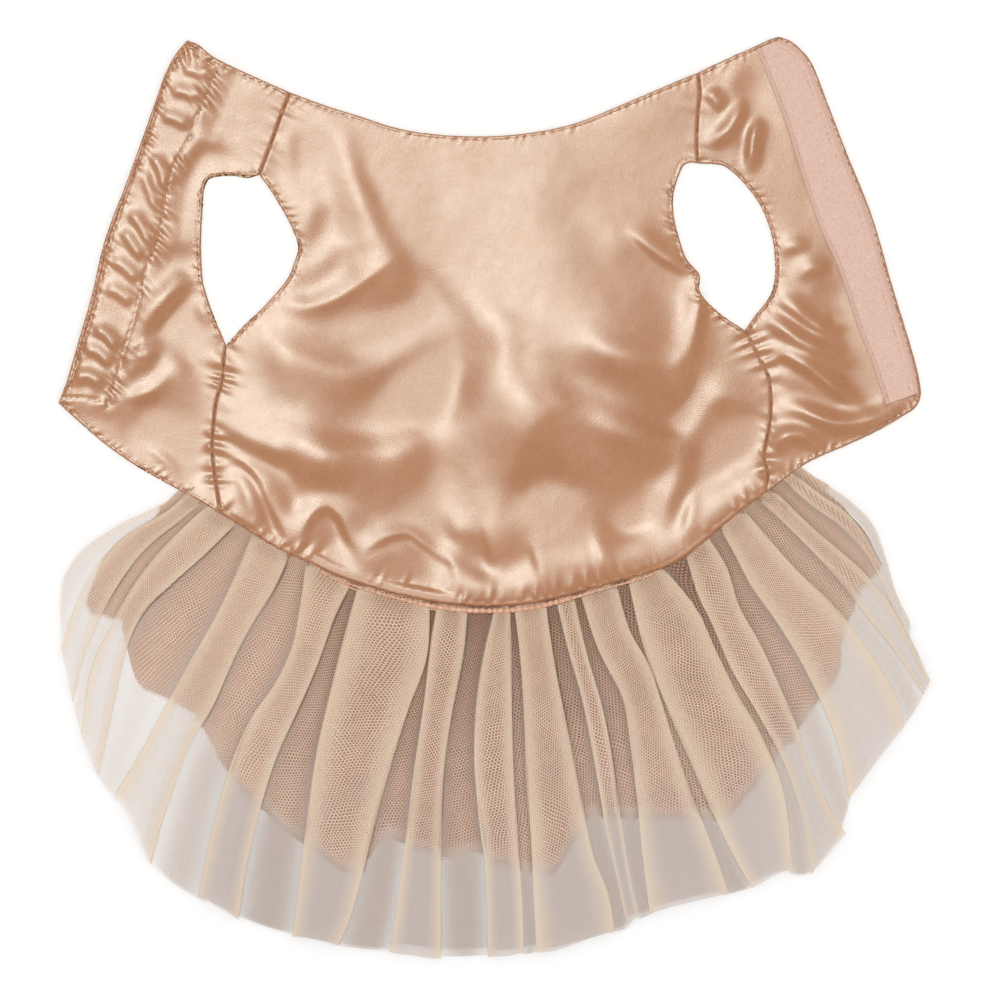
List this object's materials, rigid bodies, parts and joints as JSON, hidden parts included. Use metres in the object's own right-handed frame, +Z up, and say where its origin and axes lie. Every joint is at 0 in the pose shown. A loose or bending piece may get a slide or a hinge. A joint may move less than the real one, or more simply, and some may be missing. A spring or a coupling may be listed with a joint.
{
  "type": "small dog dress, opened flat with its lining up",
  "caption": "Pet dress laid flat, lining up: satin-lined bodice with armholes, hook and loop belly closure, gathered net and sheer skirts.",
  "frame": {"origin": "middle of the laid dress's box, at floor level", "axes": "+Z up from the floor and out of the lining, +Y from hem to neck, +X across to the wing with the loop tape"},
  "size_m": [0.435, 0.4622, 0.0123],
  "materials": {
    "satin": "rose-gold polyester satin, soft broad sheen",
    "glitter_cloth": "glitter cloth, small gold and dark specks",
    "net": "hexagon net, pinkish tan, matt",
    "sheer": "fine see-through tulle, cream, matt",
    "loop_tape": "brushed nylon loop tape, dusty pink",
    "hook_tape": "nylon hook tape, dusty pink"
  },
  "bodies": {
    "root": {"outer_back": "glitter_cloth", "outer_left_wing": "glitter_cloth", "outer_right_wing": "glitter_cloth", "lining_back": "satin", "lining_left_wing": "satin", "lining_right_wing": "satin", "loop_tape": "loop_tape", "hook_tape": "hook_tape", "waist_seam_edge": "satin", "net_skirt": "net", "sheer_skirt": "sheer"}
  },
  "joints": []
}
